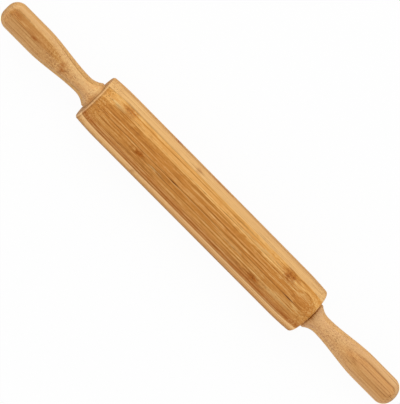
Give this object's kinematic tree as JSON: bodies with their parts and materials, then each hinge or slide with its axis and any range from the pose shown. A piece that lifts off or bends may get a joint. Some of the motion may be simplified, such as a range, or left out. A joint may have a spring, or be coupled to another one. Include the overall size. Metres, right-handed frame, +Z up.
{
  "type": "rolling pin",
  "caption": "Revolving bamboo rolling pin: a laminated, slightly crowned roller that turns on an axle between two turned handles, for rolling out dough.",
  "frame": {"origin": "middle of the pin, on the axis that its roller turns about", "axes": "+X along the pin, from the left handle to the right one; +Z up, the pin lying on its roller"},
  "size_m": [0.45, 0.047, 0.047],
  "materials": {
    "bamboo_pale": "satin, oiled",
    "bamboo_amber": "satin, oiled",
    "bamboo_brown": "satin, oiled",
    "bamboo_handle": "satin, oiled",
    "axle_steel": "ground",
    "bush_nylon": "moulded",
    "washer_steel": "stamped"
  },
  "bodies": {
    "handles": {"axle": "axle_steel", "washer_left": "washer_steel", "washer_right": "washer_steel", "handle_left_upper_front_strip": "bamboo_handle", "handle_left_upper_back_strip": "bamboo_handle", "handle_left_core_strip": "bamboo_handle", "handle_left_lower_front_strip": "bamboo_handle", "handle_left_lower_back_strip": "bamboo_handle", "handle_right_upper_front_strip": "bamboo_handle", "handle_right_upper_back_strip": "bamboo_handle", "handle_right_core_strip": "bamboo_handle", "handle_right_lower_front_strip": "bamboo_handle", "handle_right_lower_back_strip": "bamboo_handle"},
    "roller": {"roller_ply_1_front_strip": "bamboo_brown", "roller_ply_1_back_strip": "bamboo_amber", "roller_ply_2_front_strip": "bamboo_pale", "roller_ply_2_middle_strip": "bamboo_pale", "roller_ply_2_back_strip": "bamboo_pale", "roller_ply_3_front_strip": "bamboo_brown", "roller_ply_3_back_strip": "bamboo_amber", "roller_ply_4_front_strip": "bamboo_pale", "roller_ply_4_middle_strip": "bamboo_pale", "roller_ply_4_back_strip": "bamboo_pale", "roller_ply_5_front_strip": "bamboo_brown", "roller_ply_5_back_strip": "bamboo_amber", "bush_left": "bush_nylon", "bush_right": "bush_nylon"}
  },
  "joints": [
    {"name": "roller_spin", "type": "hinge", "parent": "handles", "child": "roller", "pos_m": [0, 0, 0], "axis": [1, 0, 0], "continuous": true}
  ]
}
